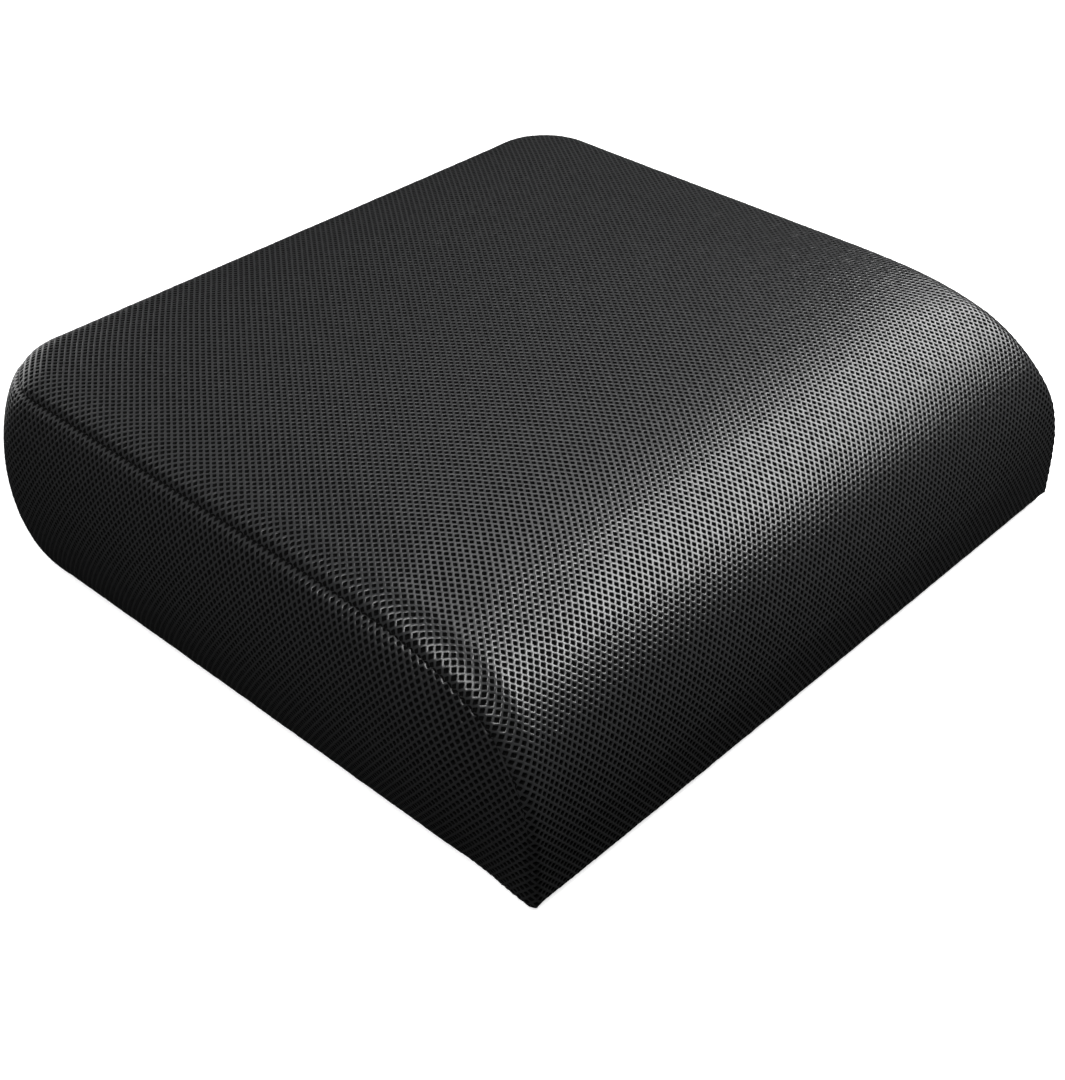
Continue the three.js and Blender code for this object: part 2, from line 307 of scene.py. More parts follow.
def surface_normals(surface, uv, step=0.4):
    """Normals of a surface, which point along the cross product of its v and u."""
    du, dv = np.array([step, 0]), np.array([0, step])
    along_u = surface(uv + du) - surface(uv - du)
    along_v = surface(uv + dv) - surface(uv - dv)
    return unit(np.cross(along_v, along_u))


def top_seam():
    """The left half of the seam round the top panel, from the front's bottom to the back.

    Returns its flat place on the top panel, its place along the plan's outline, its points
    and normals."""
    corner = BACK_CORNER_RADIUS - TOP_INSET
    s = np.linspace(TOP_LENGTH, corner, int((TOP_LENGTH - corner) / SEAM_STEP))
    nz = np.interp(s, PROFILE[0], PROFILE[4])
    side = np.column_stack([edge_radius(nz) * SEAM_SHARE - SEAM_HALF, s])
    turn = np.linspace(0, math.pi / 2, 36)[1:]
    arc = np.column_stack([-BACK_STRAIGHT - corner * np.cos(turn), corner - corner * np.sin(turn)])
    first = np.linspace(-BACK_STRAIGHT, -BACK_PANEL_HALF, 3)[1:]
    rest = np.linspace(-BACK_PANEL_HALF, 0, int(BACK_PANEL_HALF / SEAM_STEP))[1:]
    back_x = np.concatenate([first, rest])
    back = np.column_stack([back_x, np.zeros(len(back_x))])
    flat = np.concatenate([side, arc, back])
    points = top_surface(flat)
    side_a = np.maximum.accumulate(points[: len(s), 1] - FRONT)
    a = np.concatenate([side_a, SIDE_LENGTH + BACK_CORNER_RADIUS * turn, BACK_MIDDLE + back_x])
    return flat, a, points, surface_normals(top_surface, flat)


TOP_FLAT, TOP_A, TOP_POINTS, TOP_NORMALS = top_seam()
SIDE_COUNT = int(np.searchsorted(TOP_A, SIDE_LENGTH))
TOP_SEAM_INSET = np.full(len(TOP_A), TOP_INSET)
TOP_SEAM_INSET[:SIDE_COUNT] = SEAM_HALF + TOP_POINTS[:SIDE_COUNT, 0]


def outline(a):
    """The plan's outline on the left, from the front round the back corner: x, y, nx, ny."""
    turn = np.clip((a - SIDE_LENGTH) / BACK_CORNER_RADIUS, 0, math.pi / 2)
    nx, ny = -np.cos(turn), np.sin(turn)
    past_corner = np.maximum(a - SIDE_LENGTH - CORNER_LENGTH, 0)
    x = -BACK_STRAIGHT + BACK_CORNER_RADIUS * nx + past_corner
    y = FRONT + np.minimum(a, SIDE_LENGTH) + BACK_CORNER_RADIUS * ny
    return x, y, nx, ny


def bottom_inset(a):
    """The bottom seam's inset from the outline, less at the sharp front corners."""
    return mix(FRONT_SEAM_RADIUS * SEAM_SHARE, BOTTOM_INSET, smooth(a / CORNER_FADE))


def bottom_seam():
    """The left half of the bottom seam, below each point of the top seam: points, normals."""
    x, y, nx, ny = outline(TOP_A)
    inset = bottom_inset(TOP_A)
    z = mix(TOP_POINTS[0, 2], SEAM_Z, smooth((TOP_A - TOP_A[0]) / CORNER_FADE))
    out, down = math.cos(BOTTOM_SEAM_ANGLE), math.sin(BOTTOM_SEAM_ANGLE)
    points = np.column_stack([x - nx * inset, y - ny * inset, z])
    return points, np.column_stack([nx * out, ny * out, np.full(len(x), -down)])


BOTTOM_POINTS, BOTTOM_NORMALS = bottom_seam()


def band_surface(uv):
    """The left band and the back: u is the place along the plan's outline, and v is z."""
    a, z = uv[:, 0], uv[:, 1]
    x, y, nx, ny = outline(a)
    bottom = np.interp(a, TOP_A, BOTTOM_POINTS[:, 2])
    height = np.maximum(np.interp(a, TOP_A, TOP_POINTS[:, 2]) - bottom, 4)
    k = np.clip((z - bottom) / height, 0, 1)
    front_seam_a = np.interp(z, TOP_POINTS[:SIDE_COUNT, 2], TOP_A[:SIDE_COUNT])
    behind = np.clip((a - front_seam_a) / FRONT_FADE, 0, 1)
    bulge = mix(SIDE_BULGE, BACK_BULGE, smooth((a - SIDE_LENGTH) / CORNER_LENGTH)) + TOP_INSET
    full = TOP_POINTS[-1, 2] - SEAM_Z
    swell = bulge * (4 * k * (1 - k)) ** 0.75 * (behind * (2 - behind)) ** 0.8
    inset = mix(bottom_inset(a), np.interp(a, TOP_A, TOP_SEAM_INSET), k)
    out = swell * np.minimum(height / full, 1) - inset
    return np.column_stack([x + nx * out, y + ny * out, z])


def back_surface(uv):
    """The back panels: u is x, and v is z."""
    points = band_surface(np.column_stack([np.full(len(uv), BACK_MIDDLE), uv[:, 1]]))
    points[:, 0] = uv[:, 0]
    return points


def underside_surface(uv):
    """The bottom panel: u is x and v is y. Its edges rise to the bottom seam."""
    x, y = uv[:, 0], uv[:, 1]
    over = np.clip(BOTTOM_RADIUS - inset_in_plan(x, y), 0, BOTTOM_RADIUS)
    rise = BOTTOM_RADIUS - np.sqrt(BOTTOM_RADIUS**2 - over**2)
    rise *= smooth((y - FRONT) / 40)
    lip = np.clip(FRONT_LIP_RADIUS - (y - FRONT), 0, FRONT_LIP_RADIUS)
    rise = np.maximum(rise, FRONT_LIP_RADIUS - np.sqrt(FRONT_LIP_RADIUS**2 - lip**2))
    return np.column_stack([x, y, GRIP + rise])


# ---- seams and the loops they make ----


def mirrored(points):
    """The same points on the other side, in the opposite order."""
    return (points * np.array([-1, 1, 1])[: points.shape[1]])[::-1]


class Loop:
    """A panel's edge: its flat points in order, and where each lies on the cushion.

    A panel's points near the edge are pulled onto these, so that the panels on both sides of
    a seam meet in one line."""

    def __init__(self, *stretches):
        self.flat, self.points, self.normals = (np.concatenate(part) for part in zip(*stretches))

    def nearest(self, uv):
        """For flat points: the distance inside the loop, and the flat place, the place, the
        normal and the number along the loop of its nearest point."""
        best = np.full(len(uv), np.inf)
        spot, share = np.zeros(len(uv), int), np.zeros(len(uv))
        inside = np.zeros(len(uv), bool)
        for i, (a, b) in enumerate(zip(self.flat, np.roll(self.flat, -1, 0))):
            edge = b - a
            length = edge @ edge
            if length < 1e-12:
                continue
            t = np.clip((uv - a) @ edge / length, 0, 1)
            distance = ((uv - a - t[:, None] * edge) ** 2).sum(1)
            closer = distance < best
            best[closer], spot[closer], share[closer] = distance[closer], i, t[closer]
            if a[1] != b[1]:
                spans = (uv[:, 1] < a[1]) != (uv[:, 1] < b[1])
                inside ^= spans & (uv[:, 0] < a[0] + (uv[:, 1] - a[1]) * edge[0] / edge[1])
        ahead, t = (spot + 1) % len(self.flat), share[:, None]
        found = (mix(part[spot], part[ahead], t) for part in (self.flat, self.points, self.normals))
        return np.where(inside, 1, -1) * np.sqrt(best), *found, spot + share


def front_seam(flat_end):
    """The straight seam along the front's bottom edge, from right to left.

    Its flat place is x and the end of the panel: TOP_LENGTH on the top, y on the underside."""
    corner = TOP_POINTS[0]
    x = np.linspace(-corner[0], corner[0], int(-2 * corner[0] / SEAM_STEP))[1:-1]
    points = np.column_stack([x, np.full(len(x), corner[1]), np.full(len(x), corner[2])])
    flat = np.column_stack([x, np.full(len(x), flat_end)])
    return flat, points, np.tile([0, -math.sqrt(0.5), -math.sqrt(0.5)], (len(x), 1))


def both_halves(flat, points, normals):
    """A seam's left half and its mirror image, as one stretch."""
    return [np.concatenate([part, mirrored(part)[1:]]) for part in (flat, points, normals)]


def upright_seam(surface, u, z_from, z_to):
    """A straight upright edge of a band or a back panel."""
    z = np.linspace(z_from, z_to, max(3, int(abs(z_to - z_from) / SEAM_STEP)))[1:-1]
    flat = np.column_stack([np.full(len(z), u), z])
    return flat, surface(flat), outward(len(z))


def band_loop():
    kept = TOP_A <= BAND_LENGTH + 1e-6
    top = np.column_stack([TOP_A, TOP_POINTS[:, 2]])[kept]
    bottom = np.column_stack([TOP_A, BOTTOM_POINTS[:, 2]])[kept][::-1]
    return Loop(
        (top, TOP_POINTS[kept], TOP_NORMALS[kept]),
        upright_seam(band_surface, BAND_LENGTH, top[-1, 1], bottom[0, 1]),
        (bottom, BOTTOM_POINTS[kept][::-1], BOTTOM_NORMALS[kept][::-1]),
    )


def back_loop(slot_z, points, normals):
    """A back panel between the top or bottom seam and the zipper's slot."""
    kept = TOP_A >= BAND_LENGTH - 1e-6
    points, normals = points[kept], normals[kept]
    seam_z = points[0, 2]
    x = np.linspace(BACK_PANEL_HALF, -BACK_PANEL_HALF, int(2 * BACK_PANEL_HALF / SEAM_STEP))
    slot = np.column_stack([x, np.full(len(x), slot_z)])
    return Loop(
        both_halves(points[:, [0, 2]], points, normals),
        upright_seam(back_surface, BACK_PANEL_HALF, seam_z, slot_z),
        (slot, back_surface(slot), outward(len(x))),
        upright_seam(back_surface, -BACK_PANEL_HALF, slot_z, seam_z),
    )


TOP_LOOP = Loop(both_halves(TOP_FLAT, TOP_POINTS, TOP_NORMALS), front_seam(TOP_LENGTH))
UNDERSIDE_LOOP = Loop(
    both_halves(BOTTOM_POINTS[:, :2], BOTTOM_POINTS, BOTTOM_NORMALS),
    front_seam(TOP_POINTS[0, 1]),
)


# ---- the knitted net ----


def cell_outline():
    """How far a cell's top corner is from its middle, and the rim of its hole as six points."""
    across, up = CELL
    peak = (across**2 / 4 + up**2) / (2 * up)
    side = up - peak
    corners = np.array([(0, peak), (across / 2, side), (across / 2, -side)])
    corners = np.concatenate([corners, -corners])
    angle = np.arctan2(corners[:, 0] / HOLE[0], corners[:, 1] / HOLE[1])
    return peak, np.column_stack([np.sin(angle), np.cos(angle)]) * HOLE


def covering_lattice(loop):
    """Rows of cell centres that cover a loop, every other row shifted by half a cell."""
    low, high = loop.flat.min(0) - 3 * CELL, loop.flat.max(0) + 3 * CELL
    columns, rows = np.ceil((high - low) / CELL).astype(int) + 1
    i, j = np.meshgrid(np.arange(columns), np.arange(rows))
    return np.stack([low[0] + (i + (j % 2) / 2) * CELL[0], low[1] + j * CELL[1]], -1)


def knit(name, loop, surface):
    """A net of six-sided cells, each with a sunken hole, cut to a loop and laid on a surface.

    The corners of the cells are knots of the net, shared between neighbours. A rim has two
    sets of points, so that the edge between a strand and its hole stays crisp."""
    peak, rim = cell_outline()
    lattice = covering_lattice(loop)
    rows, columns = lattice.shape[:2]
    grid = lattice.reshape(-1, 2)
    kept = loop.nearest(grid)[0] > -0.45 * CELL[1]
    cell = np.nonzero(kept)[0]
    row, column = cell // columns, cell % columns
    shift = row % 2
    above, below = (row + 1) * columns + column + shift, (row - 1) * columns + column + shift
    under = rows * columns  # the number of the first knot that is below its cell
    corners = np.column_stack([cell, under + above, below, under + cell, below - 1, under + above - 1])
    knots = np.concatenate([grid + [0, peak], grid - [0, peak]])
    used, corners = np.unique(corners, return_inverse=True)
    corners = corners.reshape(-1, 6)

    uneven = 1 + rng.normal(0, RIM_UNEVEN, (len(cell), 1, 2))
    rims = (grid[cell][:, None] + rim[None] * uneven).reshape(-1, 2)
    flat = np.concatenate([knots[used], rims, rims, grid[cell]])
    counts = [len(used), len(rims), len(rims), len(cell)]
    depth = np.repeat([0, RIM_DEPTH, RIM_DEPTH, PIT_DEPTH], counts)
    depth[: len(used)] += rng.normal(0, KNOT_UNEVEN, len(used))
    points, flat = lay(flat, depth, loop, surface)

    strand_rim = len(used) + np.arange(len(rims)).reshape(-1, 6)
    hole_rim = strand_rim + len(rims)
    bottom = len(used) + 2 * len(rims) + np.arange(len(cell))
    quads, triangles = [], []
    for k in range(6):
        m = (k + 1) % 6
        quads.append(np.column_stack([corners[:, k], corners[:, m], strand_rim[:, m], strand_rim[:, k]]))
        triangles.append(np.column_stack([hole_rim[:, k], hole_rim[:, m], bottom]))
    faces = [without_slivers(points, np.concatenate(part)) for part in (quads, triangles)]
    obj = make_object(name, points, faces)
    add_uv(obj, flat)
    # painted shade mask: how dark each point is painted, from 0 on the knots to 1 at a hole's bottom
    add_value(obj, "pit_shade", np.repeat([0, 0.1, 0.6, 1], counts))
    # the holes' walls take the second material, which is near-black painted shade
    part = np.repeat([0, 1], [len(faces[0]), len(faces[1])])
    obj.data.polygons.foreach_set("material_index", part)
    return obj


def without_slivers(points, faces):
    """The faces that weren't flattened to nothing against the loop."""
    a, b, c, d = (points[faces[:, corner]] for corner in (0, 1, 2, -1))
    halves = (np.cross(b - a, c - a), np.cross(c - a, d - a))
    area = sum(np.linalg.norm(half, axis=1) for half in halves)
    return faces[area > 1e-3]


def lay(flat, depth, loop, surface):
    """Lays flat points on a surface at a depth, and sinks them into the seam at the loop.

    Returns their places, and their flat places with those outside brought in to the loop."""
    distance, edge, seam, seam_normal, spot = loop.nearest(flat)
    flat = np.where((distance < 0)[:, None], edge, flat)
    distance = np.maximum(distance, 0)
    near = np.exp(-((distance / PULL_REACH) ** 2))[:, None]
    points = surface(flat) + (seam - surface(edge)) * near
    normals = unit(mix(surface_normals(surface, flat), seam_normal, near))
    sunk = GROOVE_DEPTH * np.exp(-((distance / GROOVE_WIDTH) ** 2))
    waved = np.exp(-((distance / PUCKER_REACH) ** 2)) * smooth(distance / 3)
    pucker = PUCKER * waved * wander(spot * SEAM_STEP)
    shallow = depth * smooth(distance / 1.2)
    return points + swelling(points) - normals * (shallow + sunk + pucker)[:, None], flat


def wander(length):
    """A smooth aimless wave along a seam, from -1 to 1, with the spacing of puckers."""
    waves = [(11.3, 0.4), (17.9, 2.2), (29.3, 4.1), (61.0, 1.0)]
    return sum(np.sin(length * 2 * math.pi / period + start) for period, start in waves) / len(waves)


# ---- the stuffed body: cloth pressed out by its filling ----


def wall_ring(k):
    """A ring round the bands, a share k of the way down from the top seam."""
    left = band_surface(np.column_stack([TOP_A, mix(TOP_POINTS[:, 2], BOTTOM_POINTS[:, 2], k)]))
    return np.concatenate([left, mirrored(left)[1:], front_seam(TOP_LENGTH)[1]])


def closed_body():
    """The whole cover as one closed object, in rings from the middle of the top over its seam,
    down the bands, and in to the middle of the underside, then remeshed evenly."""
    top, under = TOP_LOOP.flat, UNDERSIDE_LOOP.flat
    middle = np.array([0, TOP_LENGTH / 2])
    rings = [top_surface(mix(middle, top, r)) for r in np.linspace(0.01, 1, 60)]
    rings += [wall_ring(k) for k in np.linspace(0, 1, 20)[1:-1]]
    rings += [underside_surface(mix(np.zeros(2), under, r)) for r in np.linspace(1, 0.01, 30)]
    rings = [ring[::4] for ring in rings]
    count = len(rings[0])
    first = np.arange(count)[None, :]
    last = first[:, ::-1] + count * (len(rings) - 1)
    faces = [ring_faces(len(rings), count), first, last]
    body = make_object("body", np.concatenate(rings), faces)
    remesh = body.modifiers.new("remesh", "REMESH")
    remesh.mode = "VOXEL"
    remesh.voxel_size = VOXEL * MM
    bake_modifiers(body)
    return body


def bake_modifiers(obj):
    """Puts an object's evaluated mesh in place of its modifiers."""
    graph = bpy.context.evaluated_depsgraph_get()
    obj.data = bpy.data.meshes.new_from_object(obj.evaluated_get(graph), depsgraph=graph)
    obj.modifiers.clear()


def mesh_points(mesh):
    points = np.zeros(len(mesh.vertices) * 3)
    mesh.vertices.foreach_get("co", points)
    return points.reshape(-1, 3) / MM


def held_points(points):
    """Which points of the body the filling can't move: its seams, zipper and underside."""
    seams = np.concatenate([TOP_LOOP.points, UNDERSIDE_LOOP.points])
    tree = KDTree(len(seams))
    for i, point in enumerate(seams):
        tree.insert(point, i)
    tree.balance()
    close = np.array([tree.find(point)[2] < HELD_REACH for point in points])
    zipper = (points[:, 1] > BACK - 12) & (np.abs(points[:, 2] - ZIP_HEIGHT) < 13)
    return close | zipper | (points[:, 2] < GRIP + 4)


def press_out(body):
    """Runs Blender's Cloth on the body with its seams held. Returns how far each point moved."""
    rest = mesh_points(body.data)
    held = body.vertex_groups.new(name="held")
    held.add(np.nonzero(held_points(rest))[0].tolist(), 1, "REPLACE")
    cloth = body.modifiers.new("cloth", "CLOTH")
    cloth.settings.vertex_group_mass = "held"
    cloth.settings.use_pressure = True
    cloth.settings.uniform_pressure_force = 4
    cloth.settings.effector_weights.gravity = 0
    scene = bpy.context.scene
    for number in range(1, 21):
        scene.frame_set(number)
    moved = body.evaluated_get(bpy.context.evaluated_depsgraph_get())
    swell = mesh_points(moved.data) - rest
    body.modifiers.clear()
    scene.frame_set(1)
    length = np.linalg.norm(swell, axis=1)[:, None]
    swell *= SWELL_CAP * np.tanh(length / SWELL_CAP) / np.maximum(length, 1e-6)
    return tautened(body, swell)


def tautened(body, swell, rounds=14):
    """The swelling averaged with its neighbours, which takes the small creases out."""
    edges = np.zeros(len(body.data.edges) * 2, int)
    body.data.edges.foreach_get("vertices", edges)
    one, other = edges.reshape(-1, 2).T
    count = np.bincount(edges, minlength=len(swell))[:, None]
    for _ in range(rounds):
        total = np.zeros_like(swell)
        np.add.at(total, one, swell[other])
        np.add.at(total, other, swell[one])
        swell = (swell + total / count) / 2
    return swell


def read_swelling(body, swell):
    """A function that gives the swelling at any points near the body."""
    body.data.calc_loop_triangles()
    triangles = np.zeros(len(body.data.loop_triangles) * 3, int)
    body.data.loop_triangles.foreach_get("vertices", triangles)
    triangles = triangles.reshape(-1, 3)
    rest = mesh_points(body.data)
    tree = BVHTree.FromPolygons(rest.tolist(), triangles.tolist())

    def swelling(points):
        found = [tree.find_nearest(point) for point in points.tolist()]
        place = np.array([hit[0] for hit in found])
        corner = triangles[[hit[2] for hit in found]]
        a, b, c = (rest[corner[:, i]] for i in range(3))
        opposite = ((b, c), (c, a), (a, b))
        areas = [np.cross(one - place, other - place) for one, other in opposite]
        weights = np.stack([np.linalg.norm(area, axis=1) for area in areas], 1)
        weights /= weights.sum(1)[:, None]
        return (swell[corner] * weights[:, :, None]).sum(1)

    return swelling


# ---- the cover's panels ----


def mirror_object(source, name):
    """A copy of a panel for the other side."""
    points = mesh_points(source.data) * [-1, 1, 1]
    obj = source.copy()
    obj.data = source.data.copy()
    obj.name = name
    obj.data.vertices.foreach_set("co", (points * MM).ravel())
    obj.data.flip_normals()
    return into_scene(obj)


def build_cover(deep_shade):
    """The knitted panels, with a near-black material painted as the shade in their holes."""
    fabric = mesh_fabric()
    upper = back_loop(SLOT_HIGH, TOP_POINTS, TOP_NORMALS)
    lower = back_loop(SLOT_LOW, BOTTOM_POINTS, BOTTOM_NORMALS)
    left = knit("side_band_left_net", band_loop(), band_surface)
    panels = {
        "top_panel": knit("top_panel_net", TOP_LOOP, top_surface),
        "side_band_left": left,
        "side_band_right": mirror_object(left, "side_band_right_net"),
        "back_band_upper": knit("back_band_upper_net", upper, back_surface),
        "back_band_lower": knit("back_band_lower_net", lower, back_surface),
    }
    for cad_node, panel in panels.items():
        place(panel, cad_node, slot="mesh_fabric", material=fabric, fill=0.95)
        # the second material: near-black painted shade on the holes' walls
        panel.data.materials.append(deep_shade)


# ---- inside the cover ----


def inner_body(body, swell, inset, name):
    """A copy of the swollen body, smaller all round."""
    obj = into_scene(body.copy())
    obj.data = body.data.copy()
    obj.name = name
    obj.vertex_groups.clear()
    normals = np.zeros(len(obj.data.vertices) * 3)
    obj.data.vertices.foreach_get("normal", normals)
    points = mesh_points(obj.data) + swell - normals.reshape(-1, 3) * inset
    points[:, 2] = np.maximum(points[:, 2], LOW[2] + inset)
    obj.data.vertices.foreach_set("co", (points * MM).ravel())
    obj.data.update()
    return obj


def cut_level(obj, height, keep_above):
    """Cuts a closed object at a height and closes the cut."""
    mesh = bmesh.new()
    mesh.from_mesh(obj.data)
    whole = [*mesh.verts, *mesh.edges, *mesh.faces]
    cut = bmesh.ops.bisect_plane(
        mesh, geom=whole, plane_co=(0, 0, height * MM), plane_no=(0, 0, 1),
        clear_inner=keep_above, clear_outer=not keep_above,
    )
    rim = [part for part in cut["geom_cut"] if isinstance(part, bmesh.types.BMEdge)]
    lid = bmesh.ops.edgeloop_fill(mesh, edges=rim)["faces"]
    bmesh.ops.triangulate(mesh, faces=lid)
    bmesh.ops.recalc_face_normals(mesh, faces=mesh.faces)
    mesh.to_mesh(obj.data)
    mesh.free()


def build_foams(body, swell):
    """The firm base block and the softer one on top of it."""
    level = box_mm("support_foam")[1][2]
    support = inner_body(body, swell, FOAM_INSET, "support_foam_block")
    cut_level(support, level, keep_above=False)
    grey = foam("support_foam", (0.27, 0.29, 0.31), 900)
    place(support, "support_foam", slot="support_foam", material=grey, fill=1.0)
    comfort = inner_body(body, swell, FOAM_INSET, "comfort_foam_block")
    cut_level(comfort, level + 0.3, keep_above=True)
    cream = foam("comfort_foam", (0.8, 0.74, 0.6), 1500)
    place(comfort, "comfort_foam", slot="comfort_foam", material=cream, fill=0.9)


def build_liner(body, swell):
    """A thin sock round the foam, open behind the zipper."""
    liner = inner_body(body, swell, LINER_INSET, "core_liner_sock")
    mesh = bmesh.new()
    mesh.from_mesh(liner.data)
    opening = [face for face in mesh.faces if behind_zipper(face.calc_center_median() / MM)]
    bmesh.ops.delete(mesh, geom=opening, context="FACES")
    mesh.to_mesh(liner.data)
    mesh.free()
    thickness = liner.modifiers.new("thickness", "SOLIDIFY")
    thickness.thickness = 0.6 * MM
    bake_modifiers(liner)
    place(liner, "core_liner", slot="liner_fabric", material=liner_fabric())


def behind_zipper(point):
    return point.y > BACK - 20 and abs(point.x) < 150 and abs(point.z - ZIP_HEIGHT) < 15


# ---- the underside ----


def build_underside():
    """The bottom panel of plain cloth, with rubber dots that it stands on."""
    low, high = UNDERSIDE_LOOP.flat.min(0), UNDERSIDE_LOOP.flat.max(0)
    columns, rows = np.ceil((high - low) / 3.0).astype(int) + 1
    x, y = np.meshgrid(np.linspace(low[0], high[0], columns), np.linspace(low[1], high[1], rows))
    flat = np.column_stack([x.ravel(), y.ravel()])
    points, flat = lay(flat, np.zeros(len(flat)), UNDERSIDE_LOOP, underside_surface)
    quads = without_slivers(points, grid_faces(rows, columns))
    cloth = make_object("bottom_panel_cloth", points, [quads])
    add_uv(cloth, flat)
    place(cloth, "bottom_panel", slot="grip_fabric", material=grip_fabric(), fill=0.95)
    place(grip_dots(), slot="grip_fabric", material=grip_rubber())


def grip_dots():
    """Low round domes in staggered rows, as one object."""
    low, high = UNDERSIDE_LOOP.flat.min(0) + DOT_MARGIN, UNDERSIDE_LOOP.flat.max(0) - DOT_MARGIN
    columns, rows = ((high - low) / DOT_PITCH).astype(int)
    i, j = np.meshgrid(np.arange(columns), np.arange(rows))
    x, y = low[0] + (i + (j % 2) / 2) * DOT_PITCH[0], low[1] + j * DOT_PITCH[1]
    centres = np.column_stack([x.ravel(), y.ravel(), np.zeros(x.size)])
    centres = centres[UNDERSIDE_LOOP.nearest(centres[:, :2])[0] > DOT_MARGIN]
    count = 10
    rings = [(1.7, GRIP + 0.3), (1.55, 0.35), (0.9, 0.05)]
    sides = [np.column_stack([circle(count) * r, np.full(count, z)]) for r, z in rings]
    dome = np.concatenate([*sides, [[0, 0, 0]]])
    last_ring = count * (len(rings) - 1) + np.arange(count)
    tip = np.column_stack([last_ring, np.full(count, len(dome) - 1), np.roll(last_ring, -1)])
    number = np.arange(len(centres))[:, None, None] * len(dome)
    quads = (ring_faces(len(rings), count) + number).reshape(-1, 4)
    points = (dome[None] + centres[:, None]).reshape(-1, 3)
    return make_object("grip_dots", points, [quads, (tip + number).reshape(-1, 3)])


# ---- thread, zipper and label ----


def tube(path, radius, sides=6):
    """Points and faces of a round tube along a path, with closed ends."""
    along = unit(np.gradient(path, axis=0))
    helper = np.tile([0.0, 0.0, 1.0], (len(path), 1))
    helper[np.abs(along[:, 2]) > 0.9] = (1, 0, 0)
    across = unit(np.cross(along, helper))
    up = np.cross(along, across)
    cosine, sine = circle(sides).T[:, None, :, None]
    ring = cosine * across[:, None] + sine * up[:, None]
    points = (path[:, None] + ring * radius).reshape(-1, 3)
    step = np.arange(sides)
    ends = np.array([step, step[::-1] + sides * (len(path) - 1)])
    return points, ring_faces(len(path), sides)[:, ::-1], ends


def joined_tubes(name, tubes):
    """One object from several tubes."""
    starts = np.cumsum([0] + [len(points) for points, _, _ in tubes])
    points = np.concatenate([points for points, _, _ in tubes])
    quads = np.concatenate([quads + start for (_, quads, _), start in zip(tubes, starts)])
    ends = np.concatenate([ends + start for (_, _, ends), start in zip(tubes, starts)])
    return make_object(name, points, [quads, ends])


def stitches(name, path, normals, radius=0.3, length=3.0, gap=0.9):
    """A row of thread stitches that stand above the path and dip into the cloth at their ends."""
    s = np.concatenate([[0], np.cumsum(np.linalg.norm(np.diff(path, axis=0), axis=1))])
    tubes = []
    for start in np.arange(0, s[-1] - length, length + gap):
        at = np.linspace(start, start + length, 7)
        middle = np.column_stack([np.interp(at, s, path[:, i]) for i in range(3)])
        up = np.column_stack([np.interp(at, s, normals[:, i]) for i in range(3)])
        arch = np.sin(np.linspace(0, math.pi, 7))[:, None] * 0.6 - 0.25
        tubes.append(tube(middle + up * arch, radius))
    return joined_tubes(name, tubes)


def build_topstitching(thread):
    """The stitches that hold the turned edges of the back panels to the zipper's tapes."""
    x = np.linspace(-BACK_PANEL_HALF + 4, BACK_PANEL_HALF - 4, 300)
    for name, z in (("topstitch_upper", SLOT_HIGH + 3), ("topstitch_lower", SLOT_LOW - 3)):
        line = back_surface(np.column_stack([x, np.full(len(x), z)]))
        row = stitches(name, line + swelling(line), outward(len(x)))
        place(row, slot="zipper_tape", material=thread)


def build_coils(nylon):
    """Two nylon spirals, with their turns half a pitch apart."""
    for name, side in (("zipper_coil_upper", 1), ("zipper_coil_lower", -1)):
        low, high = box_mm(name)
        pitch, wire = 1.3, 0.3
        x = np.arange(low[0] + 0.5, high[0] - 0.5, pitch / 12)
        turn = x / pitch * 2 * math.pi + (0 if side > 0 else math.pi)
        middle, half = (low + high) / 2, (high - low) / 2 - wire
        y = middle[1] + half[1] * np.cos(turn)
        z = middle[2] + half[2] * np.sin(turn)
        coil = joined_tubes(name + "_spiral", [tube(np.column_stack([x, y, z]), wire)])
        place(coil, name, slot="zipper_nylon", material=nylon)


def softened(node, width, name):
    """A copy of a hard CAD piece with its edges rounded."""
    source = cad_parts[node]
    obj = into_scene(bpy.data.objects.new(name, source.data.copy()))
    obj.data.materials.clear()
    weld = obj.modifiers.new("weld", "WELD")
    weld.merge_threshold = 0.01 * MM
    bevel = obj.modifiers.new("bevel", "BEVEL")
    bevel.width = width * MM
    bevel.segments = 3
    bevel.limit_method = "ANGLE"
    bevel.angle_limit = math.radians(35)
    bevel.harden_normals = True
    bake_modifiers(obj)
    return obj


def build_zipper():
    """The zipper's pieces on their three bodies. Its tapes are the CAD's own, with new cloth."""
    metal, nylon, tape = zipper_metal(), zipper_nylon(), zipper_tape()
    for node in ("zipper_tape_upper", "zipper_tape_lower"):
        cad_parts[node].data.materials.clear()
        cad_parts[node].data.materials.append(tape)
    build_coils(nylon)
    for node in ("zipper_stop_left", "zipper_stop_right"):
        place(softened(node, 0.3, node + "_crimp"), node, slot="zipper_metal", material=metal)
    slider = softened("zipper_slider", 0.2, "slider_body")
    place(slider, "zipper_slider", body="slider", slot="zipper_metal", material=metal)
    pull = softened("zipper_pull", 0.3, "pull_tab")
    place(pull, "zipper_pull", body="pull", slot="zipper_metal", material=metal)
    for node in ("zipper_tab_left", "zipper_tab_right"):
        tab = softened(node, 0.7, node + "_fold")
        place(tab, node, slot="zipper_tape", material=tape)


